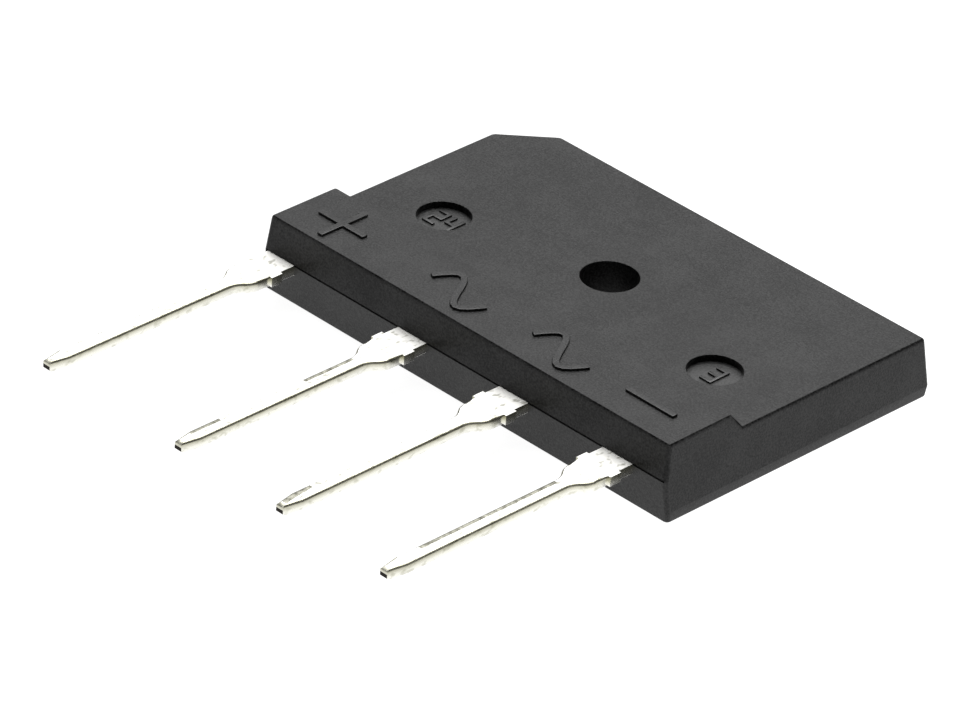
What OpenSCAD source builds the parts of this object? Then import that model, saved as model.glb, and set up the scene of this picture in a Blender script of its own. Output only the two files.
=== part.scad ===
// Single-in-line bridge rectifier: a flat moulded epoxy body with a screw hole,
// four tinned leads in one row, and the four silicon dice, solder joints and
// copper clips that are sealed inside it.
// Origin: axis of the mounting hole, at the heat-sink face (Z = 0).
// +Z runs through the hole towards the marked face, +X from the plus lead to the
// minus lead, +Y away from the leads.

/* [Body] */
// Width of the body along the lead row, at the parting line
body_w = 30; // [29:0.5:36]
// Depth of the body from the lead side to the back, at the parting line
body_d = 20; // [19.5:0.5:26]
// Thickness of the plate around the hole
plate_t = 3.6; // [3.4:0.1:4.2]
// Thickness of the rib above the leads
rib_t = 4.6; // [4.3:0.1:6]
// Depth of the flat top of the rib, from the lead side
rib_d = 4.8; // [4.4:0.1:7]
// Run of the ramp from the rib down to the plate
ramp_run = 0.9; // [0.3:0.1:2]
// Height of the parting line around the sides and the back
side_part_z = 0.65; // [0.3:0.05:1.5]
// Draft of the two ends and of the cut corner, in degrees
side_draft = 4.5; // [1:0.5:8]
// Draft of the back, in degrees
back_draft = 8.5; // [1:0.5:10]
// Draft of the lead side, above and below the leads, in degrees
front_draft = 6; // [1:0.5:8]
// Width of the cut corner that tells the plus end, at the parting line
corner_cut = 3; // [1:0.1:4]

/* [Mounting hole] */
// Bore of the screw hole
hole_d = 3.2; // [2.8:0.1:3.6]
// Distance from the lead side to the hole axis
hole_from_front = 11; // [10.5:0.1:12]

/* [Ejector marks] */
// Diameter of the two round ejector marks
mark_d = 2.8; // [2:0.1:3.4]
// Depth of the ejector marks
mark_depth = 0.45; // [0.2:0.05:0.6]
// Distance between the two marks
mark_pitch = 20; // [12:0.5:22]
// Distance from the hole axis to the marks, towards the leads
mark_from_hole = 2.5; // [0:0.1:2.8]
// Height of the cavity numbers in the marks
digit_h = 1.4; // [0.8:0.1:1.6]
// Width of one digit
digit_w = 0.75; // [0.5:0.05:0.8]
// Stroke of the digits
digit_stroke = 0.18; // [0.1:0.02:0.25]
// Gap between two digits
digit_gap = 0.22; // [0.1:0.02:0.3]
// How far the digits stand up
digit_raise = 0.1; // [0.05:0.01:0.2]

/* [Polarity signs] */
// How far the signs stand up from the rib
sign_raise = 0.15; // [0.05:0.01:0.3]
// Stroke of the signs
sign_stroke = 0.4; // [0.2:0.05:0.6]
// Length of the bars of the plus and the minus sign
bar_len = 3.4; // [2:0.1:4]
// Length of the alternating current sign
wave_len = 4.1; // [2.5:0.1:5]
// Height of the alternating current sign, crest to trough
wave_h = 2.5; // [1.5:0.1:3]
// Offset of the plus sign from its lead
plus_shift = 2.1; // [1.8:0.1:3]
// Offset of the alternating current signs from their leads
wave_shift = 0.85; // [-1:0.05:1.5]
// Offset of the minus sign from its lead
minus_shift = -0.15; // [-1:0.05:1]

/* [Leads] */
// Distance from the plus end of the body to the centre of the plus lead
lead_first = 1.45; // [1.35:0.05:2.5]
// Pitch from the plus lead to the first alternating current lead
pitch_first = 10; // [9.6:0.1:10.4]
// Pitch between the other leads
pitch_next = 7.5; // [7.3:0.1:7.8]
// Thickness of the lead frame
frame_t = 0.6; // [0.4:0.05:0.8]
// Height of the top of the leads above the heat-sink face
lead_top = 2.5; // [2.3:0.1:2.8]
// Length of the leads outside the body
lead_out = 16.5; // [8:0.5:20]
// Width of the narrow part of a lead
lead_w = 0.9; // [0.6:0.05:1.2]
// Width of the shoulder next to the body
shoulder_w = 2.1; // [1.6:0.1:2.3]
// Length of the shoulder outside the body
shoulder_len = 2.9; // [2.4:0.1:4]
// Length of the taper from the shoulder to the narrow part
shoulder_taper = 0.8; // [0.3:0.1:1.5]
// How far the cut stubs of the dam bar stand out of the shoulder
stub_out = 0.18; // [0.05:0.01:0.3]
// Width of the dam bar stubs along the lead
stub_len = 0.75; // [0.3:0.05:1]
// Distance from the body to the dam bar stubs
stub_from_body = 1; // [0.5:0.1:1.2]
// Width of the tip
tip_w = 0.5; // [0.3:0.05:0.6]
// Length of the tapered tip
tip_len = 1.2; // [0.5:0.1:2]
// Bevel on the top and bottom edges of the tip
tip_bevel = 0.12; // [0.05:0.01:0.15]

/* [Lead frame inside] */
// Epoxy under the die pads
pad_z = 1; // [0.6:0.05:1.2]
// Width of a lead frame neck behind its lead
neck_w = 2.8; // [2.2:0.1:3.2]
// Depth to which a lead keeps its shoulder width inside the body
inlet = 0.9; // [0.5:0.1:1]
// Flat length of the neck before it bends down
neck_flat = 0.5; // [0.3:0.1:0.8]
// Epoxy between the frame and the outside of the body
frame_wall = 1.3; // [1:0.1:1.4]
// Epoxy between the frame and the screw hole
hole_guard = 1.6; // [1.2:0.1:1.8]
// Gap between neighbouring pieces of the frame
frame_gap = 0.9; // [0.6:0.1:1.1]
// Width of the two alternating current pads
ac_pad_w = 5.5; // [4.5:0.1:5.6]

/* [Dice, solder and clips] */
// Bare strip of pad on each side of a die, on the narrowest pad
die_margin = 0.35; // [0.25:0.05:0.6]
// Thickness of a silicon die
die_t = 0.3; // [0.2:0.02:0.4]
// Bare rim of a die around its metallised top contact
die_rim = 0.6; // [0.4:0.05:0.8]
// Thickness of each solder layer
solder_t = 0.08; // [0.05:0.01:0.1]
// Thickness of the copper clips
clip_t = 0.4; // [0.25:0.05:0.5]
// Length of a clip's foot
foot_len = 1.8; // [1:0.1:2]
// How far a short clip arches up over the edge of its die
clip_arch = 0.3; // [0.2:0.05:0.4]
// How far the long clip rises to cross the frame
bus_rise = 0.7; // [0.6:0.05:0.8]
// Width of the long clip where it crosses the frame
bus_w = 1.4; // [1:0.1:1.5]
// Clearance between pieces that lie side by side on one pad
pad_gap = 0.4; // [0.2:0.05:0.5]

/* [Hidden] */
$fn = 96;
// Extra length of cutting and bounding shapes past the solid
past = 1;
wave_steps = 16;
epoxy_colour = "#3a3a3c";
tin_colour = "#d4d4d0";
copper_colour = "#b87348";
solder_colour = "#9a9ca0";
silicon_colour = "#5a5f6c";

// Body faces at the parting line
side_x = body_w / 2;
front_y = -hole_from_front;
back_y = body_d - hole_from_front;

// Centre of each lead, from the plus end
lead_x = [
    -side_x + lead_first,
    -side_x + lead_first + pitch_first,
    -side_x + lead_first + pitch_first + pitch_next,
    -side_x + lead_first + pitch_first + 2 * pitch_next
];

// Levels of the lead frame, the dice and the clips
lead_z = lead_top - frame_t;
pad_top = pad_z + frame_t;
drop = lead_z - pad_z;
die_z = pad_top + solder_t;
contact_z = die_z + die_t;
clip_z = contact_z + solder_t;
foot_z = pad_top + solder_t;

// Plan of the lead frame
neck_y = front_y + inlet;
bend_y = neck_y + neck_flat;
pad_front = bend_y + drop;
bend_set = frame_t * tan(45 / 2);
hole_keep = hole_d / 2 + hole_guard;
ac_out = hole_keep + ac_pad_w;
ac_back = hole_keep - frame_gap;
limb_in = ac_out + frame_gap;
limb_out = side_x - frame_wall;
limb_back = back_y - frame_wall;
die_w = min(limb_out - limb_in, limb_back - hole_keep, ac_pad_w) - 2 * die_margin;
contact_w = die_w - 2 * die_rim;
plus_reach = hole_keep + die_w + 2 * pad_gap;
corner_keep = corner_cut - frame_wall + frame_wall * sqrt(2);

// Rows of dice, clips and feet
bus_y = pad_front + pad_gap;
ac_die_y = bus_y + bus_w + pad_gap + die_w / 2;
side_clip_y = ac_die_y + die_w / 2 + pad_gap + contact_w / 2;
back_die_y = (hole_keep + limb_back) / 2;
foot_row_y = ac_back - pad_gap - foot_len / 2;
limb_mid = (limb_in + limb_out) / 2;
ac_mid = (hole_keep + ac_out) / 2;
die_at = [
    [-limb_mid, side_clip_y],
    [hole_keep + pad_gap + die_w / 2, back_die_y],
    [-ac_mid, ac_die_y],
    [ac_mid, ac_die_y]
];
foot_at = [
    [-ac_out + pad_gap + foot_len / 2, side_clip_y],
    [die_at[1][0], foot_row_y],
    [limb_mid, bus_y + bus_w / 2],
    [limb_in + pad_gap + foot_len / 2, ac_die_y]
];
// Footprint of each foot: width along X, width along Y
foot_size = [
    [foot_len, contact_w],
    [contact_w, foot_len],
    [foot_len, bus_w],
    [foot_len, contact_w]
];

function draft_in(angle, rise) = tan(angle) * rise;

// Outline of a strip of even height t over the line of its underside
function strip(line, t) = concat(
    line,
    [for (i = [len(line) - 1:-1:0]) line[i] + [0, t]]
);

// Underside of a short clip that runs from a die to a foot at distance run
function clip_line(run) = [
    [-contact_w / 2, clip_z],
    [contact_w / 2, clip_z],
    [contact_w / 2 + clip_arch, clip_z + clip_arch],
    [run - foot_len / 2 - (clip_z + clip_arch - foot_z), clip_z + clip_arch],
    [run - foot_len / 2, foot_z],
    [run + foot_len / 2, foot_z]
];

// Extrudes a [Y, Z] profile along X between two places
module along_x(x1, x2) {
    translate([x1, 0, 0])
        rotate([90, 0, 90])
            linear_extrude(height = x2 - x1)
                children();
}

// Extrudes an [X, Z] profile along Y between two places
module along_y(y1, y2) {
    translate([0, y2, 0])
        rotate([90, 0, 0])
            linear_extrude(height = y2 - y1)
                children();
}

// A box centred on a place, standing on level z
module slab(at, size, z, t) {
    translate([at[0] - size[0] / 2, at[1] - size[1] / 2, z])
        cube([size[0], size[1], t]);
}

// ---- Body ----

// Section from the lead side to the back: drafts, rib and ramp
module body_length_profile() {
    above = rib_t - lead_top;
    back_top = back_y - draft_in(back_draft, plate_t - side_part_z);
    polygon([
        [front_y + draft_in(front_draft, lead_top), 0],
        [front_y, lead_top],
        [front_y + draft_in(front_draft, above), rib_t],
        [front_y + rib_d, rib_t],
        [front_y + rib_d + ramp_run, plate_t],
        [back_top, plate_t],
        [back_y, side_part_z],
        [back_y - draft_in(back_draft, side_part_z), 0]
    ]);
}

// Section across the body: drafted ends that meet at the parting line
module body_width_profile() {
    low = side_x - draft_in(side_draft, side_part_z);
    high = side_x - draft_in(side_draft, rib_t - side_part_z);
    polygon([
        [-low, 0], [low, 0], [side_x, side_part_z],
        [high, rib_t], [-high, rib_t], [-side_x, side_part_z]
    ]);
}

// Keeps everything inside the drafted plane of the cut corner
module corner_limit() {
    reach = (side_x + back_y - corner_cut) / sqrt(2);
    span = body_w + body_d;
    rotate([0, 0, 135])
        along_y(-span, span)
            polygon([
                [-span, 0],
                [reach - draft_in(side_draft, side_part_z), 0],
                [reach, side_part_z],
                [reach - draft_in(side_draft, rib_t - side_part_z), rib_t],
                [-span, rib_t]
            ]);
}

module body_blank() {
    intersection() {
        along_x(-side_x, side_x) body_length_profile();
        along_y(front_y, back_y) body_width_profile();
        corner_limit();
    }
}

module plus_sign() {
    translate([-bar_len / 2, -sign_stroke / 2]) square([bar_len, sign_stroke]);
    translate([-sign_stroke / 2, -bar_len / 2]) square([sign_stroke, bar_len]);
}

module minus_sign() {
    translate([-bar_len / 2, -sign_stroke / 2]) square([bar_len, sign_stroke]);
}

// One period of a sine wave, drawn with an even stroke
module wave_sign() {
    slope = PI * wave_h / wave_len;
    mid = [for (i = [0:wave_steps]) let (a = 360 * i / wave_steps)
        [wave_len * (i / wave_steps - 0.5), wave_h / 2 * sin(a)]];
    side = [for (i = [0:wave_steps]) let (s = slope * cos(360 * i / wave_steps))
        [-s, 1] / sqrt(1 + s * s) * sign_stroke / 2];
    polygon(concat(
        [for (i = [0:wave_steps]) mid[i] + side[i]],
        [for (i = [wave_steps:-1:0]) mid[i] - side[i]]
    ));
}

module polarity_signs() {
    sign_y = front_y + rib_d / 2;
    translate([0, 0, rib_t])
        linear_extrude(height = sign_raise) {
            translate([lead_x[0] + plus_shift, sign_y]) plus_sign();
            translate([lead_x[1] + wave_shift, sign_y]) wave_sign();
            translate([lead_x[2] + wave_shift, sign_y]) wave_sign();
            translate([lead_x[3] + minus_shift, sign_y]) minus_sign();
        }
}

// A digit of straight bars: top, upper right, lower right, bottom,
// lower left, upper left and middle, each drawn where its flag is set
module digit(bars) {
    s = digit_stroke;
    half = digit_h / 2;
    across = [digit_w, s];
    upright = [s, half];
    if (bars[0]) translate([0, digit_h - s]) square(across);
    if (bars[1]) translate([digit_w - s, half]) square(upright);
    if (bars[2]) translate([digit_w - s, 0]) square(upright);
    if (bars[3]) square(across);
    if (bars[4]) square(upright);
    if (bars[5]) translate([0, half]) square(upright);
    if (bars[6]) translate([0, half - s / 2]) square(across);
}

digit_two = [true, true, false, true, true, false, true];
digit_four = [false, true, true, false, false, true, true];
digit_three = [true, true, true, true, false, false, true];

module cavity_numbers() {
    floor_z = plate_t - mark_depth;
    step = digit_w + digit_gap;
    row = -mark_from_hole - digit_h / 2;
    translate([0, 0, floor_z])
        linear_extrude(height = digit_raise) {
            translate([-mark_pitch / 2 - step + digit_gap / 2, row]) digit(digit_two);
            translate([-mark_pitch / 2 + digit_gap / 2, row]) digit(digit_four);
            translate([mark_pitch / 2 - digit_w / 2, row]) digit(digit_three);
        }
}

module ejector_marks() {
    for (side = [-1, 1])
        translate([side * mark_pitch / 2, -mark_from_hole, plate_t - mark_depth])
            cylinder(d = mark_d, h = mark_depth + past);
}

module screw_hole() {
    translate([0, 0, -past])
        cylinder(d = hole_d, h = plate_t + 2 * past);
}

// Everything that the epoxy is moulded around
module embedded() {
    for (i = [0:3]) {
        lead_frame(i);
        diode_die(i);
        die_solder(i);
        top_solder(i);
        foot_solder(i);
        clip(i);
        // The pieces above and below a contact, as one block
        slab(die_at[i], [contact_w, contact_w], die_z, clip_z + clip_t - die_z);
    }
}

module body() {
    color(epoxy_colour) {
        difference() {
            union() {
                body_blank();
                polarity_signs();
            }
            screw_hole();
            ejector_marks();
            embedded();
        }
        cavity_numbers();
    }
}

// ---- Lead frame ----

// Plan of one lead, centred on X = 0, from inside the body to its tip
module lead_outline() {
    half = [
        [shoulder_w / 2, neck_y],
        [shoulder_w / 2, front_y - stub_from_body],
        [shoulder_w / 2 + stub_out, front_y - stub_from_body],
        [shoulder_w / 2 + stub_out, front_y - stub_from_body - stub_len],
        [shoulder_w / 2, front_y - stub_from_body - stub_len],
        [shoulder_w / 2, front_y - shoulder_len],
        [lead_w / 2, front_y - shoulder_len - shoulder_taper],
        [lead_w / 2, front_y - lead_out + tip_len],
        [tip_w / 2, front_y - lead_out]
    ];
    polygon(concat(
        half,
        [for (i = [len(half) - 1:-1:0]) [-half[i][0], half[i][1]]]
    ));
}

// Side view of one lead, with the bevels of its tip
module lead_side() {
    tip_y = front_y - lead_out;
    polygon([
        [neck_y, lead_z], [neck_y, lead_top],
        [tip_y + tip_bevel, lead_top], [tip_y, lead_top - tip_bevel],
        [tip_y, lead_z + tip_bevel], [tip_y + tip_bevel, lead_z]
    ]);
}

module lead(i) {
    reach = shoulder_w / 2 + stub_out;
    translate([lead_x[i], 0, 0])
        intersection() {
            translate([0, 0, lead_z])
                linear_extrude(height = frame_t) lead_outline();
            along_x(-reach, reach) lead_side();
        }
}

// Joggled neck: flat behind the lead, then down to the level of the pads
module neck(x1, x2) {
    along_x(x1, x2)
        polygon([
            [neck_y, lead_z], [neck_y, lead_top],
            [bend_y, lead_top], [pad_front, pad_top],
            [bus_y, pad_top], [bus_y, pad_z],
            [pad_front - bend_set, pad_z], [bend_y - bend_set, lead_z]
        ]);
}

module pad(outline) {
    translate([0, 0, pad_z])
        linear_extrude(height = frame_t) polygon(outline);
}

// A rectangular pad between two corners
module pad_box(x1, y1, x2, y2) {
    pad([[x1, y1], [x2, y1], [x2, y2], [x1, y2]]);
}

// The plus piece: a limb along the plus end and one behind the hole
module plus_pads() {
    pad([
        [-limb_out, pad_front], [-limb_in, pad_front],
        [-limb_in, hole_keep], [plus_reach, hole_keep],
        [plus_reach, limb_back], [-limb_out + corner_keep, limb_back],
        [-limb_out, limb_back - corner_keep]
    ]);
}

module lead_frame(i) {
    color(tin_colour) {
        lead(i);
        if (i == 0) {
            neck(-limb_out, -limb_out + neck_w);
            plus_pads();
        }
        if (i == 1) {
            neck(lead_x[1] - neck_w / 2, lead_x[1] + neck_w / 2);
            pad_box(-ac_out, pad_front, -hole_keep, ac_back);
        }
        if (i == 2) {
            neck(lead_x[2] - neck_w / 2, lead_x[2] + neck_w / 2);
            pad_box(hole_keep, pad_front, ac_out, ac_back);
        }
        if (i == 3) {
            neck(lead_x[3] - neck_w / 2, lead_x[3] + neck_w / 2);
            pad_box(limb_in, pad_front, limb_out, limb_back);
        }
    }
}

// ---- Dice, solder and clips ----

module diode_die(i) {
    color(silicon_colour)
        slab(die_at[i], [die_w, die_w], die_z, die_t);
}

module die_solder(i) {
    color(solder_colour)
        slab(die_at[i], [die_w, die_w], pad_top, solder_t);
}

module top_solder(i) {
    color(solder_colour)
        slab(die_at[i], [contact_w, contact_w], contact_z, solder_t);
}

module foot_solder(i) {
    color(solder_colour)
        slab(foot_at[i], foot_size[i], pad_top, solder_t);
}

// A short clip along X from die i to its foot
module clip_across(i) {
    run = foot_at[i][0] - die_at[i][0];
    translate([die_at[i][0], 0, 0])
        along_y(die_at[i][1] - contact_w / 2, die_at[i][1] + contact_w / 2)
            polygon(strip(clip_line(run), clip_t));
}

// The clip that runs forward from the back die
module clip_forward(i) {
    run = die_at[i][1] - foot_at[i][1];
    translate([0, die_at[i][1], 0])
        mirror([0, 1, 0])
            along_x(die_at[i][0] - contact_w / 2, die_at[i][0] + contact_w / 2)
                polygon(strip(clip_line(run), clip_t));
}

// The long clip: a contact plate, and a raised bus that crosses the frame
module clip_bus(i) {
    bus_z = clip_z + bus_rise;
    start = die_at[i][0] - contact_w / 2;
    rise_x = die_at[i][0] + contact_w / 2;
    land_x = foot_at[i][0] - foot_len / 2;
    along_y(bus_y, bus_y + bus_w)
        polygon(strip([
            [start, clip_z], [rise_x, clip_z],
            [rise_x + bus_rise, bus_z],
            [land_x - (bus_z - foot_z), bus_z],
            [land_x, foot_z], [land_x + foot_len, foot_z]
        ], clip_t));
    translate([start, bus_y, clip_z])
        cube([contact_w, die_at[i][1] + contact_w / 2 - bus_y, clip_t]);
}

module clip(i) {
    color(copper_colour) {
        if (i == 0) clip_across(0);
        if (i == 1) clip_forward(1);
        if (i == 2) clip_bus(2);
        if (i == 3) clip_across(3);
    }
}

body();
lead_frame(0);  // lead_frame_plus
lead_frame(1);  // lead_frame_ac_left
lead_frame(2);  // lead_frame_ac_right
lead_frame(3);  // lead_frame_minus
diode_die(0);  // diode_die_1
diode_die(1);  // diode_die_2
diode_die(2);  // diode_die_3
diode_die(3);  // diode_die_4
die_solder(0);  // die_solder_1
die_solder(1);  // die_solder_2
die_solder(2);  // die_solder_3
die_solder(3);  // die_solder_4
top_solder(0);  // top_solder_1
top_solder(1);  // top_solder_2
top_solder(2);  // top_solder_3
top_solder(3);  // top_solder_4
foot_solder(0);  // foot_solder_1
foot_solder(1);  // foot_solder_2
foot_solder(2);  // foot_solder_3
foot_solder(3);  // foot_solder_4
clip(0);  // clip_1
clip(1);  // clip_2
clip(2);  // clip_3
clip(3);  // clip_4
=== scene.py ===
import math

import bmesh
import bpy
from mathutils import Matrix, Vector


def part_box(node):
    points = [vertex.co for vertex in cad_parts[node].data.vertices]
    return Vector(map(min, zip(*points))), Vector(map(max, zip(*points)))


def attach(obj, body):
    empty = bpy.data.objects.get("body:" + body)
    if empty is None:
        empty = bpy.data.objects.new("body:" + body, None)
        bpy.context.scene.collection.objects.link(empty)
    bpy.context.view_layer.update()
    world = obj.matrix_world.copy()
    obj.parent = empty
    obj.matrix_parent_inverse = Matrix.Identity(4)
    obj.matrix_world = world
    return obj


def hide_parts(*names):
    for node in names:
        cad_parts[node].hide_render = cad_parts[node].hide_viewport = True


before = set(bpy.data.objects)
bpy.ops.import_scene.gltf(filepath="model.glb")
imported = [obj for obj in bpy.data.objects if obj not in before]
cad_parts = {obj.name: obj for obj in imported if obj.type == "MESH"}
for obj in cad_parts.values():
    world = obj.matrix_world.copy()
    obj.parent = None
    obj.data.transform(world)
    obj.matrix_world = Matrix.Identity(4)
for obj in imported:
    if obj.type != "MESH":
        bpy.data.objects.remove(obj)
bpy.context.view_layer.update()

mm = 0.001
deg = math.pi / 180
hair = 0.01 * mm                             # places closer than this count as one
stripUnder, stripTop = 1.9 * mm, 2.5 * mm    # the two faces of the strip outside the body


def hexColour(code):
    # sRGB hex to the linear values that Blender's sockets take
    parts = [int(code[i:i + 2], 16) / 255 for i in (1, 3, 5)]
    return [c / 12.92 if c <= 0.04045 else ((c + 0.055) / 1.055) ** 2.4 for c in parts] + [1.0]


def deselectAll():
    if bpy.context.mode != "OBJECT":
        bpy.ops.object.mode_set(mode="OBJECT")
    for thing in list(bpy.context.selected_objects):
        thing.select_set(False)


def makeActive(piece):
    deselectAll()
    piece.select_set(True)
    bpy.context.view_layer.objects.active = piece


def mergedCopy(nodeName, pieceName):
    # a CAD solid's mesh as a new piece in edit mode, its loose triangles joined at their corners
    piece = bpy.data.objects.new(pieceName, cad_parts[nodeName].data.copy())
    piece.data.name = pieceName
    piece.data.materials.clear()
    bpy.context.scene.collection.objects.link(piece)
    makeActive(piece)
    bpy.ops.object.mode_set(mode="EDIT")
    bpy.ops.mesh.select_all(action="SELECT")
    bpy.ops.mesh.customdata_custom_splitnormals_clear()
    bpy.ops.mesh.remove_doubles(threshold=0.002 * mm)
    bpy.ops.mesh.select_all(action="DESELECT")
    return piece


def makeFlatsWhole():
    # joins the triangles of each flat face
    bpy.ops.mesh.select_all(action="SELECT")
    bpy.ops.mesh.dissolve_limited(angle_limit=0.4 * deg)


def pick(piece, kind, test):
    # selects the corners, edges or faces that pass the test, and no others
    bpy.ops.mesh.select_mode(type=kind)
    bpy.ops.mesh.select_all(action="DESELECT")
    mesh = bmesh.from_edit_mesh(piece.data)
    for element in {"VERT": mesh.verts, "EDGE": mesh.edges, "FACE": mesh.faces}[kind]:
        if test(element):
            element.select_set(True)
    bmesh.update_edit_mesh(piece.data)


def pickFaces(piece, test):
    pick(piece, "FACE", test)


def pickVerts(piece, test):
    # the test gets each corner's place
    pick(piece, "VERT", lambda v: test(v.co))


def pickEdges(piece, test, sharper=25):
    # edges between two faces that meet at more than so many degrees, and that pass the test
    pick(piece, "EDGE", lambda e: len(e.link_faces) == 2 and e.calc_face_angle(0) > sharper * deg
         and test(e))


def middle(edge):
    return (edge.verts[0].co + edge.verts[1].co) / 2


def roundOff(width, segments, clamp=True):
    bpy.ops.mesh.bevel(offset_type="OFFSET", offset=width, segments=segments, profile=0.5,
                       affect="EDGES", clamp_overlap=clamp, loop_slide=True)


def finishPiece(piece, smoothBelow, materials, slot, *nodes):
    # edges flatter than so many degrees are shaded smooth, and the flat faces stay flat
    bpy.ops.object.mode_set(mode="OBJECT")
    bpy.ops.object.shade_smooth_by_angle(angle=smoothBelow * deg)
    makeActive(piece)
    bpy.ops.object.modifier_add(type="WEIGHTED_NORMAL")
    piece.modifiers[-1].keep_sharp = True
    piece.modifiers[-1].weight = 100
    bpy.ops.object.modifier_apply(modifier=piece.modifiers[-1].name)
    for material in materials:
        piece.data.materials.append(material)
    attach(piece, "root")
    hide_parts(*nodes)
    deselectAll()


def addNode(tree, kind, settings=None, links=None):
    # adds one node; a setting is one of its properties, a ramp's stops or, by name, an input,
    # and links come from other sockets
    node = tree.nodes.new(kind)
    for name, value in (settings or {}).items():
        if name == "stops":
            stops = node.color_ramp.elements
            for at, code in value[1:-1]:
                stops.new(at)
            for stop, (at, code) in zip(stops, value):
                stop.position = at
                stop.color = hexColour(code)
        elif hasattr(node, name):
            setattr(node, name, value)
        else:
            node.inputs[name].default_value = value
    for name, socket in (links or {}).items():
        tree.links.new(socket, node.inputs[name])
    return node


def newMaterial(name, settings):
    material = bpy.data.materials.new(name)
    material.use_nodes = True
    tree = material.node_tree
    tree.nodes.clear()
    shader = addNode(tree, "ShaderNodeBsdfPrincipled", settings)
    addNode(tree, "ShaderNodeOutputMaterial", links={"Surface": shader.outputs["BSDF"]})
    place = addNode(tree, "ShaderNodeTexCoord").outputs["Object"]
    return material, tree, shader, place


epoxyLook = {
    "speckle": ((0.4, "#000000"), (0.62, "#2a2a2a")),
    "grain": 0.11 * mm,          # filler grains, coarser than real ones so that they show
    "mottle": 2.4 * mm,          # soft clouds from the flow of the compound
    "mottleShare": 0.25,
    "bumpHeight": 0.02 * mm,
}


def mouldedEpoxy(name, gloss, roughness, bumpShare=1.0):
    # Silica-filled epoxy, transfer moulded: black in itself, so what it shows is a blurred satin
    # reflection, broken up by filler grains that stand out as a fine speckle
    look = epoxyLook
    material, tree, shader, place = newMaterial(
        name, {"Roughness": roughness, "IOR": 1.5, "Specular IOR Level": gloss})
    grain = addNode(tree, "ShaderNodeTexNoise",
                    {"Scale": 1 / look["grain"], "Detail": 2.0, "Roughness": 0.6}, {"Vector": place})
    mottle = addNode(tree, "ShaderNodeTexNoise", {"Scale": 1 / look["mottle"], "Detail": 3.0},
                     {"Vector": place})
    mixed = addNode(tree, "ShaderNodeMix", {"data_type": "FLOAT", "Factor": look["mottleShare"]},
                    {2: grain.outputs["Fac"], 3: mottle.outputs["Fac"]})
    colour = addNode(tree, "ShaderNodeValToRGB", {"stops": look["speckle"]},
                     {"Fac": mixed.outputs[0]})
    tree.links.new(colour.outputs["Color"], shader.inputs["Base Color"])
    bump = addNode(tree, "ShaderNodeBump", {"Strength": bumpShare, "Distance": look["bumpHeight"]},
                   {"Height": grain.outputs["Fac"]})
    tree.links.new(bump.outputs["Normal"], shader.inputs["Normal"])
    return material


tinLook = {
    "colour": "#f3f2ee",
    "ripple": 0.9 * mm,                  # the uneven skin of dipped tin
    "rippleHeight": 0.003 * mm,
    "roughSwing": 0.04,                  # the skin is duller and brighter by turns
    "flux": (0.28 * mm, 0.5 * mm),       # across and along, spots where flux dulled the tin
    "fluxAt": (0.28, 0.46),
    "paintedReflectionAt": (0.02, 0.35, 0.7, 0.98),   # up the thickness of the strip, where the painted reflection's tones sit
}


def tinPlate(name, roughness, dull, paintedReflectionBands, metallic=1.0):
    # Copper strip dipped in tin after moulding: satin bright, uneven, with soft dull patches; the
    # bands are a painted reflection, its tones from the strip's lower face to its upper one
    look = tinLook
    material, tree, shader, place = newMaterial(name, {"Metallic": metallic})
    ripple = addNode(tree, "ShaderNodeTexNoise", {"Scale": 1 / look["ripple"], "Detail": 2.0},
                     {"Vector": place})
    across, along = (1 / size for size in look["flux"])
    drawn = addNode(tree, "ShaderNodeMapping", {"Scale": (across, along, across)},
                    {"Vector": place})
    flux = addNode(tree, "ShaderNodeTexNoise", {"Scale": 1.0, "Detail": 1.0},
                   {"Vector": drawn.outputs["Vector"]})
    spots = addNode(tree, "ShaderNodeValToRGB",
                    {"stops": tuple(zip(look["fluxAt"], (dull, look["colour"])))},
                    {"Fac": flux.outputs["Fac"]})
    # painted reflection: the strip's tone changes with height, darker towards its upper face
    height = addNode(tree, "ShaderNodeSeparateXYZ", links={"Vector": place}).outputs["Z"]
    level = addNode(tree, "ShaderNodeMapRange", {"From Min": stripUnder, "From Max": stripTop},
                    {"Value": height})
    paintedReflection = addNode(tree, "ShaderNodeValToRGB", {"stops": tuple(zip(look["paintedReflectionAt"], paintedReflectionBands))},
                   {"Fac": level.outputs["Result"]})
    both = addNode(tree, "ShaderNodeMix",
                   {"data_type": "RGBA", "blend_type": "MULTIPLY", "Factor": 1.0},
                   {6: spots.outputs["Color"], 7: paintedReflection.outputs["Color"]})
    tree.links.new(both.outputs[2], shader.inputs["Base Color"])
    rough = addNode(tree, "ShaderNodeMapRange",
                    {"From Min": 0.3, "From Max": 0.7, "To Min": roughness - look["roughSwing"],
                     "To Max": roughness + look["roughSwing"]},
                    {"Value": ripple.outputs["Fac"]})
    tree.links.new(rough.outputs["Result"], shader.inputs["Roughness"])
    bump = addNode(tree, "ShaderNodeBump", {"Strength": 1.0, "Distance": look["rippleHeight"]},
                   {"Height": ripple.outputs["Fac"]})
    tree.links.new(bump.outputs["Normal"], shader.inputs["Normal"])
    return material


def grainedMetal(name, dark, light, grain, roughness):
    # A bare or worn surface: a two-tone grain in the metal's or the silicon's own colour
    material, tree, shader, place = newMaterial(name, {"Metallic": 1.0, "Roughness": roughness})
    noise = addNode(tree, "ShaderNodeTexNoise", {"Scale": 1 / grain, "Detail": 3.0},
                    {"Vector": place})
    colour = addNode(tree, "ShaderNodeValToRGB", {"stops": ((0.3, dark), (0.7, light))},
                     {"Fac": noise.outputs["Fac"]})
    tree.links.new(colour.outputs["Color"], shader.inputs["Base Color"])
    bump = addNode(tree, "ShaderNodeBump", {"Strength": 0.5, "Distance": 0.01 * mm},
                   {"Height": noise.outputs["Fac"]})
    tree.links.new(bump.outputs["Normal"], shader.inputs["Normal"])
    return material


epoxyTop = mouldedEpoxy("epoxyOnFlatTop", 0.25, 0.4)
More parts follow.
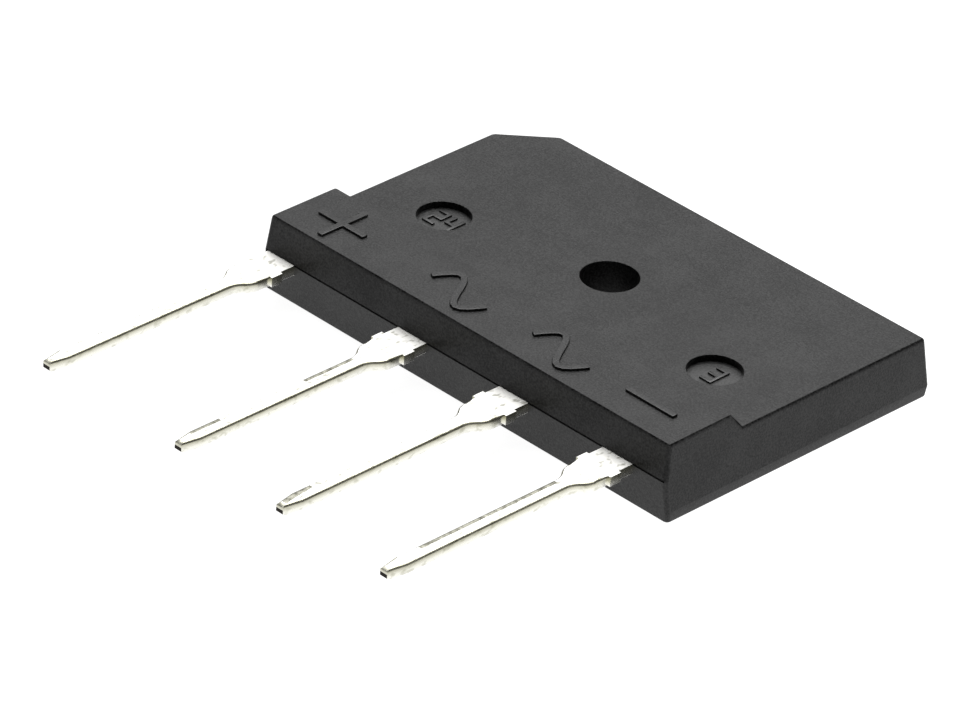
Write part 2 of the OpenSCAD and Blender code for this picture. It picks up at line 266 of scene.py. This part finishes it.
# painted shade: a copy of the epoxy with less gloss, so the upper walls show darker
epoxyWallPaintedShade = mouldedEpoxy("epoxyOnUpperWallsPaintedShade", 0.158, 0.34, 0.5)
# painted light: a copy of the epoxy with more gloss for the band below the part line, where the
# floor lights it from below
epoxyLowerPaintedLight = mouldedEpoxy("epoxyFromLowerToolPaintedLight", 0.28, 0.4, 0.5)
# pressed by a polished pin, and given extra gloss as painted light over the shade in the mark:
# brighter
epoxyPinPaintedLight = mouldedEpoxy("epoxyUnderEjectorPinPaintedLight", 0.45, 0.4, 0.5)
# painted sheen: extra gloss on the tops of the raised signs
epoxySignPaintedSheen = mouldedEpoxy("epoxyOnRaisedSignsPaintedSheen", 0.32, 0.4, 0.5)
bodyFinishes = [epoxyTop, epoxyWallPaintedShade, epoxyLowerPaintedLight, epoxyPinPaintedLight, epoxySignPaintedSheen]

# on the rolled faces: matte white
tinRolled = tinPlate("hotDippedTin", 0.62, "#b2b1a8", ("#ffffff",) * 4, 0.4)
# on the burnished sides: bright, with a painted reflection that turns them olive towards the top
tinStamped = tinPlate("hotDippedTinOnStampedEdge", 0.24, "#d4d3ca",
                      ("#ffffff", "#f6f6ef", "#c9c8ba", "#a9a897"))
# drawn round the punched edge: duller, with a painted reflection that darkens it towards the top
tinRollOver = tinPlate("hotDippedTinOnRollOver", 0.38, "#d4d3ca",
                       ("#ffffff", "#efeee4", "#c6c5b6", "#b0af9f"))

# sheared after plating: bare and dark
cutEnd = grainedMetal("shearedCopperEnd", "#171412", "#2e2925", 0.1 * mm, 0.5)
# painted dark reflection: olive grey on left edges and tip edges that would mirror the dark room
tinPaintedDarkReflection = grainedMetal("tinWithPaintedDarkReflection", "#55544a", "#a5a498", 0.3 * mm, 0.45)
# ground wafer: grey and satin
silicon = grainedMetal("lappedSilicon", "#4c4f55", "#6a6e75", 0.05 * mm, 0.35)
# reflowed: soft silver
solder = grainedMetal("reflowedSolder", "#a7a8a6", "#c8c9c6", 0.2 * mm, 0.32)
# stamped strip: warm and satin
copper = grainedMetal("stampedCopper", "#a9623f", "#c47d56", 0.3 * mm, 0.3)
leadFinishes = [tinRolled, tinStamped, cutEnd, tinPaintedDarkReflection, tinRollOver]
print("materials made")


shot = {
    "aim": (0, -6 * mm, 2 * mm),
    "azimuth": 43.142,                    # degrees
    "elevation": 31.448,
    "roll": 4.239,
    "distance": 365.547 * mm,
    "slide": (-2.386 * mm, -1.24 * mm),   # across and up, before the roll
    "lens": 262.59,
}


def awayAt(azimuth, elevation):
    # azimuth 0 looks at the lead side, 90 at the minus end
    a, e = azimuth * deg, elevation * deg
    return Vector((math.sin(a) * math.cos(e), -math.cos(a) * math.cos(e), math.sin(e)))


def placeCamera():
    back = awayAt(shot["azimuth"], shot["elevation"])
    across = (-back).cross(Vector((0, 0, 1))).normalized()
    upward = across.cross(-back)
    data = bpy.data.cameras.new("productCamera")
    data.sensor_width = 36
    data.lens = shot["lens"]
    data.clip_start, data.clip_end = 0.01, 10
    camera = bpy.data.objects.new("productCamera", data)
    bpy.context.scene.collection.objects.link(camera)
    place = (Vector(shot["aim"]) + back * shot["distance"]
             + across * shot["slide"][0] + upward * shot["slide"][1])
    turn = Matrix((across, upward, back)).transposed()
    camera.matrix_world = (Matrix.Translation(place) @ turn.to_4x4()
                           @ Matrix.Rotation(shot["roll"] * deg, 4, "Z"))
    bpy.context.scene.camera = camera


softboxes = {
    # name: (azimuth it stands at, elevation, distance, width, height, power)
    "backLeftBox": (-137, 38, 0.50, 0.60, 0.44, 0.9),
    "overheadBox": (-137, 72, 0.50, 0.50, 0.40, 4.5),
}
roomLight = 0.09


def placeLights():
    for name, (azimuth, elevation, distance, width, height, power) in softboxes.items():
        away = awayAt(azimuth, elevation)
        data = bpy.data.lights.new(name, "AREA")
        data.shape = "RECTANGLE"
        data.size, data.size_y = width, height
        data.energy = power
        lamp = bpy.data.objects.new(name, data)
        lamp.location = away * distance
        lamp.rotation_mode = "QUATERNION"
        lamp.rotation_quaternion = away.to_track_quat("Z", "Y")
        bpy.context.scene.collection.objects.link(lamp)


def lightRoom():
    world = bpy.data.worlds.new("studioRoom")
    world.use_nodes = True
    background = world.node_tree.nodes["Background"]
    background.inputs["Color"].default_value = (1, 1, 1, 1)
    background.inputs["Strength"].default_value = roomLight
    bpy.context.scene.world = world
    bpy.context.scene.view_settings.view_transform = "Standard"


opalGlass = {
    "size": 1.6,
    "below": 0.02 * mm,                         # clear of the part's underside
    "tones": ((0, "#6e6e6e"), (1, "#747474")),
    "glow": (0.94, 1.18),                       # at the front left and at the back right
    "glowSpan": (-5 * mm, 10 * mm),             # of X and Y added up
}


def makeFloor():
    look = opalGlass
    deselectAll()
    bpy.ops.mesh.primitive_grid_add(x_subdivisions=8, y_subdivisions=8, size=look["size"],
                                    location=(0, 0, -look["below"]))
    floor = bpy.context.object
    floor.name = "opalFloor"
    # Opal glass lit from below, its lamp under the back right: white to the eye, and shadows all
    # but vanish
    material, tree, shader, place = newMaterial(
        "backlitOpalGlass",
        {"Roughness": 0.9, "Specular IOR Level": 0.1, "Emission Color": (1, 1, 1, 1)})
    noise = addNode(tree, "ShaderNodeTexNoise", {"Scale": 40.0, "Detail": 1.0}, {"Vector": place})
    tone = addNode(tree, "ShaderNodeValToRGB", {"stops": look["tones"]},
                   {"Fac": noise.outputs["Fac"]})
    tree.links.new(tone.outputs["Color"], shader.inputs["Base Color"])
    parts = addNode(tree, "ShaderNodeSeparateXYZ", links={"Vector": place})
    across = addNode(tree, "ShaderNodeMath", {"operation": "ADD"},
                     {0: parts.outputs["X"], 1: parts.outputs["Y"]})
    lamp = addNode(tree, "ShaderNodeMapRange",
                   {"From Min": look["glowSpan"][0], "From Max": look["glowSpan"][1],
                    "To Min": look["glow"][0], "To Max": look["glow"][1]},
                   {"Value": across.outputs[0]})
    tree.links.new(lamp.outputs["Result"], shader.inputs["Emission Strength"])
    floor.data.materials.append(material)
    deselectAll()


lightRoom()
placeCamera()
placeLights()
makeFloor()
print("studio set up")


moulding = {
    "edge": 0.25 * mm,                  # rounding of the upper mould's edges
    "footEdge": 0.08 * mm,              # and of the lower mould's
    "signEdge": 0.07 * mm,
    "digitEdge": 0.05 * mm,             # the numbers in the ejector marks
    "rimEdge": 0.05 * mm,               # the rims of the marks and of the hole
    "partLine": 2.5 * mm,               # where the mould halves meet at the leads
    "sidePartLine": 0.65 * mm,          # and round the other sides
    "partGroove": 0.08 * mm,            # depth of the hairline at the leads
    "partHalf": 0.06 * mm,              # and half its width
    "front": -11 * mm,                  # the wall that the leads come out of
    "plateTop": 3.6 * mm,
    "ribTop": 4.6 * mm,
    "ribEnds": 0.6 * mm,                # how far its flat top stays clear of the body's ends
    "ribFlat": (-10.5 * mm, -6.4 * mm),
    "ramp": (-7 * mm, -5 * mm),         # its two crisp edges lie between these
    "pocket": (1.8 * mm, 2.55 * mm),    # heights between which a lead fills its slot
    "pocketBack": -9 * mm,
    "holeRadius": 1.6 * mm,
    "markRadius": 1.5 * mm,             # of an ejector mark, once worn wider
    "markX": 10 * mm,
    "markY": -2.45 * mm,
    "markUnder": 3 * mm,                # all of a mark lies above this
    "markWear": 1.07,
    "markShift": 0.07 * mm,
    "pinProud": 0.06 * mm,
    "sealedEnds": 1.2 * mm,             # the walls round the sealed pieces lie this far in from
    "sealedFront": 0.1 * mm,            # the body's ends, its lead side
    "sealedBack": 1.1 * mm,             # and its back,
    "sealed": (0.5 * mm, 3.2 * mm),     # between these heights,
    "sealedByMark": 3.1 * mm,           # and below this one near an ejector mark
}
bodyLow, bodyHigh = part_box("body")


def nearMark(point, spare=0.06 * mm):
    m = moulding
    return math.hypot(abs(point.x) - m["markX"], point.y - m["markY"]) < m["markRadius"] + spare


def nearHole(point, spare=0.06 * mm):
    return math.hypot(point.x, point.y) < moulding["holeRadius"] + spare


def insideEpoxy(point):
    # within the compound, where only the walls round the lead frame and the clips lie
    m = moulding
    under, over = m["sealed"]
    deep = (bodyLow.x + m["sealedEnds"] < point.x < bodyHigh.x - m["sealedEnds"]
            and bodyLow.y + m["sealedFront"] < point.y < bodyHigh.y - m["sealedBack"]
            and under < point.z < over)
    return deep and not nearHole(point) and not (nearMark(point) and point.z > m["sealedByMark"])


def inPocket(edge):
    # where a lead fills its own slot in the front wall
    under, over = moulding["pocket"]
    return all(under < v.co.z < over and v.co.y < moulding["pocketBack"] for v in edge.verts)


def ribBack(edge):
    # the long crisp edge where the rib's top meets the ramp, and the ramp's foot
    a, b = edge.verts
    first, last = moulding["ramp"]
    return (abs(a.co.x - b.co.x) > 1 * mm and first < a.co.y < last
            and a.co.z > moulding["plateTop"] - 0.1 * mm)


def insideRib(point):
    # on the rib's flat top, away from its own edges
    m = moulding
    first, last = m["ribFlat"]
    return (bodyLow.x + m["ribEnds"] < point.x < bodyHigh.x - m["ribEnds"]
            and first < point.y < last and point.z > m["ribTop"] - 0.05 * mm)


def onMouldEdge(edge):
    # an outer edge that the upper mould rounds
    return (not nearMark(middle(edge)) and not nearHole(middle(edge))
            and 0.05 * mm < middle(edge).z < moulding["ribTop"] + hair and not ribBack(edge)
            and not all(insideRib(v.co) for v in edge.verts) and not inPocket(edge))


def easeMarks(piece):
    # the pins sat a little proud of the mould and had worn round holes wider than drawn
    m = moulding
    for side in (-1, 1):
        centre = (side * m["markX"], m["markY"], m["plateTop"])
        pickVerts(piece, lambda p: nearMark(p) and p.x * side > 0 and p.z > m["markUnder"])
        bpy.ops.transform.resize(value=(m["markWear"], m["markWear"], 1), center_override=centre)
        bpy.ops.transform.translate(value=(0, m["markShift"], 0))
        pickVerts(piece, lambda p: nearMark(p) and p.x * side > 0
                  and m["markUnder"] < p.z < m["plateTop"] - 0.05 * mm)
        bpy.ops.transform.translate(value=(0, 0, m["pinProud"]))


def cutPartLine(piece):
    # the hairline where the mould halves meet, a shallow vee along the lead side
    m = moulding
    pickEdges(piece, lambda e: all(abs(v.co.z - m["partLine"]) < hair
                                   and v.co.y < m["front"] + 0.02 * mm for v in e.verts), sharper=5)
    roundOff(m["partHalf"], 2, clamp=False)
    pickVerts(piece, lambda p: abs(p.z - m["partLine"]) < 0.015 * mm
              and p.y < m["front"] + 0.03 * mm)
    bpy.ops.transform.translate(value=(0, m["partGroove"], 0))


def bodyFinish(face):
    m = moulding
    place, up = face.center, face.normal.z
    atFront = place.y < m["front"] + 0.4 * mm
    # below the part line: the epoxy with painted light
    if place.z < (m["partLine"] if atFront else m["sidePartLine"]):
        return epoxyLowerPaintedLight
    # the floor of an ejector mark gets the epoxy with painted light
    if nearMark(place, -0.02 * mm) and place.z < m["plateTop"] - 0.1 * mm and up > 0.9:
        return epoxyPinPaintedLight
    # the tops of the signs get the epoxy with painted sheen
    if place.z > m["ribTop"] + 0.05 * mm and up > 0.6:
        return epoxySignPaintedSheen
    # the walls above the part line get the epoxy with painted shade
    if abs(up) < 0.97 and place.z < m["ribTop"]:
        return epoxyWallPaintedShade
    return epoxyTop


def makeBody():
    m = moulding
    piece = mergedCopy("body", "epoxyBody")
    pickFaces(piece, lambda f: any(insideEpoxy(v.co) for v in f.verts))
    bpy.ops.mesh.delete(type="FACE")
    bpy.ops.mesh.select_mode(type="EDGE")
    bpy.ops.mesh.select_all(action="SELECT")
    bpy.ops.mesh.fill_holes(sides=0)
    makeFlatsWhole()
    easeMarks(piece)
    pickEdges(piece, lambda e: max(v.co.z for v in e.verts) > m["ribTop"] + 0.12 * mm)
    roundOff(m["signEdge"], 2)
    pickEdges(piece, onMouldEdge)
    roundOff(m["edge"], 4, clamp=False)
    pickEdges(piece, lambda e: all(v.co.z < hair for v in e.verts) and not nearHole(middle(e)))
    roundOff(m["footEdge"], 2, clamp=False)
    pickEdges(piece, lambda e: nearMark(middle(e), -0.1 * mm)
              and middle(e).z < m["plateTop"] - 0.05 * mm)
    roundOff(m["digitEdge"], 2)
    pickEdges(piece, lambda e: (nearMark(middle(e)) or nearHole(middle(e)))
              and middle(e).z > m["plateTop"] - hair)
    roundOff(m["rimEdge"], 2)
    cutPartLine(piece)
    finishPiece(piece, 30, bodyFinishes, "epoxy", "body")
    for face in piece.data.polygons:
        face.material_index = bodyFinishes.index(bodyFinish(face))


makeBody()
print("body moulded")


leadShape = {
    "rollOver": 0.17 * mm,                # the punch rounds the upper edges
    "burr": 0.03 * mm,                    # and leaves the lower ones nearly sharp
    "sweep": 0.35 * mm,                   # softening of the corners where a shoulder narrows
    "shoulder": (-14.8 * mm, -13 * mm),   # those corners lie between these
    "leave": -10.9 * mm,                  # where a lead leaves the body
    "stub": (-12.8 * mm, -11.95 * mm),    # what is left of the dam bar, sheared square
    "closerCut": 0.11 * mm,               # how much closer the left stub is cut
    "straight": (-26 * mm, -15 * mm),     # the sides are parallel between these
    "tipEnd": -27.45 * mm,
    "fracture": 2.24 * mm,                # below this the sheared end is torn and bare
    "paintedStripWidth": 0.33 * mm,               # of the strip by the left edge that gets the painted dark reflection
    "tipTaper": 0.09,                     # a strip wholly beyond taperEnd widens by this slope
    "taperEnd": -25 * mm,
    "taperFrom": -25.2 * mm,              # beyond this the middle of a face in the painted strip may lie this much farther in
    "taperGain": 0.1 * mm,                # may lie this much farther in
}
leads = {
    # CAD node: (piece, stretches in mm along Y where the left edge gets a painted dark reflection)
    "lead_frame_plus": ("leadPlus", ()),
    "lead_frame_ac_left": ("leadAcLeft", ((-26.5, -24.4), (-18.5, -15))),
    "lead_frame_ac_right": ("leadAcRight", ((-27.3, -25.1),)),
    "lead_frame_minus": ("leadMinus", ((-24.8, -15.2),)),
}


def onStub(edge):
    first, last = leadShape["stub"]
    return all(first < v.co.y < last for v in edge.verts)


def onTop(face):
    return face.normal.z > 0.99 and face.calc_center_median().y < leadShape["leave"]


def onLeftRoll(normal):
    return normal.x < -0.12 and normal.z > 0.3


def trimTip(piece, end):
    # the roll-over runs a hair past the sheared end, so its last corners go back up the bevel
    past = end - min(v.co.y for v in bmesh.from_edit_mesh(piece.data).verts)
    pickVerts(piece, lambda p: p.y < end - hair)
    bpy.ops.transform.translate(value=(0, past, past))
    pickVerts(piece, lambda p: p.y < end + hair / 2)
    bpy.ops.mesh.remove_doubles(threshold=hair)


def shapeLead(piece, low):
    s = leadShape
    first, last = s["shoulder"]
    pickEdges(piece, lambda e: first < middle(e).y < last and e.calc_length() > 0.5 * mm
              and e.calc_face_angle(0) < 50 * deg)
    roundOff(s["sweep"], 4)
    pickFaces(piece, lambda f: f.calc_center_median().x < low.x + hair
              and f.calc_center_median().y < s["leave"])
    bpy.ops.transform.translate(value=(s["closerCut"], 0, 0))
    pickEdges(piece, lambda e: middle(e).y < s["leave"]
              and min(v.co.z for v in e.verts) > stripTop - hair and not onStub(e), sharper=40)
    roundOff(s["rollOver"], 4, clamp=False)
    trimTip(piece, low.y)
    pickEdges(piece, lambda e: middle(e).y < s["leave"]
              and max(v.co.z for v in e.verts) < stripUnder + hair, sharper=40)
    roundOff(s["burr"], 1)


def markWear(piece, paintedStretches):
    # cuts the faces where the finish changes, the painted dark reflection included, and says where
    # the lead's left side is
    s = leadShape
    pickFaces(piece, lambda f: f.normal.y < -0.9 and f.calc_center_median().y < s["tipEnd"])
    bpy.ops.mesh.bisect(plane_co=(0, 0, s["fracture"]), plane_no=(0, 0, 1))
    for y in sum(paintedStretches, ()):
        pickFaces(piece, lambda f: (onLeftRoll(f.normal) or onTop(f))
                  and f.calc_center_median().y < s["leave"])
        bpy.ops.mesh.bisect(plane_co=(0, y, 0), plane_no=(0, 1, 0))
    outer, inner = s["straight"]
    leftX = min(v.co.x for v in bmesh.from_edit_mesh(piece.data).verts if outer < v.co.y < inner)
    for first, last in paintedStretches:
        taper = s["tipTaper"] if last < s["taperEnd"] else 0
        pickFaces(piece, lambda f: onTop(f) and first < f.calc_center_median().y < last)
        bpy.ops.mesh.bisect(plane_co=(leftX + s["paintedStripWidth"], last, 0), plane_no=(1, taper, 0))
    return leftX


def leadFinish(face, paintedStretches, leftX):
    s = leadShape
    x, y, z = face.center
    normal = face.normal
    inPaintedStretch = any(first < y < last for first, last in paintedStretches)
    byLeft = x < leftX + s["paintedStripWidth"] + (s["taperGain"] if y < s["taperFrom"] else 0)
    if y < s["tipEnd"] + 0.03 * mm and normal.y < -0.5 and z < s["fracture"]:
        return cutEnd
    # painted dark reflection along the left edge in the listed stretches
    if inPaintedStretch and (onLeftRoll(normal) or normal.z > 0.99 and byLeft):
        return tinPaintedDarkReflection
    if abs(normal.z) < 0.15:
        return tinStamped
    if 0.15 < normal.z < 0.98:
        # the rolled edge at the tip gets the painted dark reflection as well
        return tinPaintedDarkReflection if y < s["tipEnd"] + 0.2 * mm and normal.y < -0.3 else tinRollOver
    return tinRolled


def makeLead(nodeName, pieceName, darkStretches):
    piece = mergedCopy(nodeName, pieceName)
    makeFlatsWhole()
    shapeLead(piece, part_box(nodeName)[0])
    paintedStretches = [(first * mm, last * mm) for first, last in darkStretches]
    leftX = markWear(piece, paintedStretches)
    finishPiece(piece, 35, leadFinishes, "tinned_lead", nodeName)
    for face in piece.data.polygons:
        face.material_index = leadFinishes.index(leadFinish(face, paintedStretches, leftX))


for nodeName, (pieceName, darkStretches) in leads.items():
    makeLead(nodeName, pieceName, darkStretches)
print("leads trimmed and tinned")


# the sealed pieces keep their CAD shapes
sealed = {"diode_die": silicon, "die_solder": solder, "top_solder": solder, "foot_solder": solder,
          "clip": copper}
for name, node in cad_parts.items():
    kind = name.rsplit("_", 1)[0]
    if kind in sealed:
        node.data.materials.clear()
        node.data.materials.append(sealed[kind])
print("sealed pieces finished")
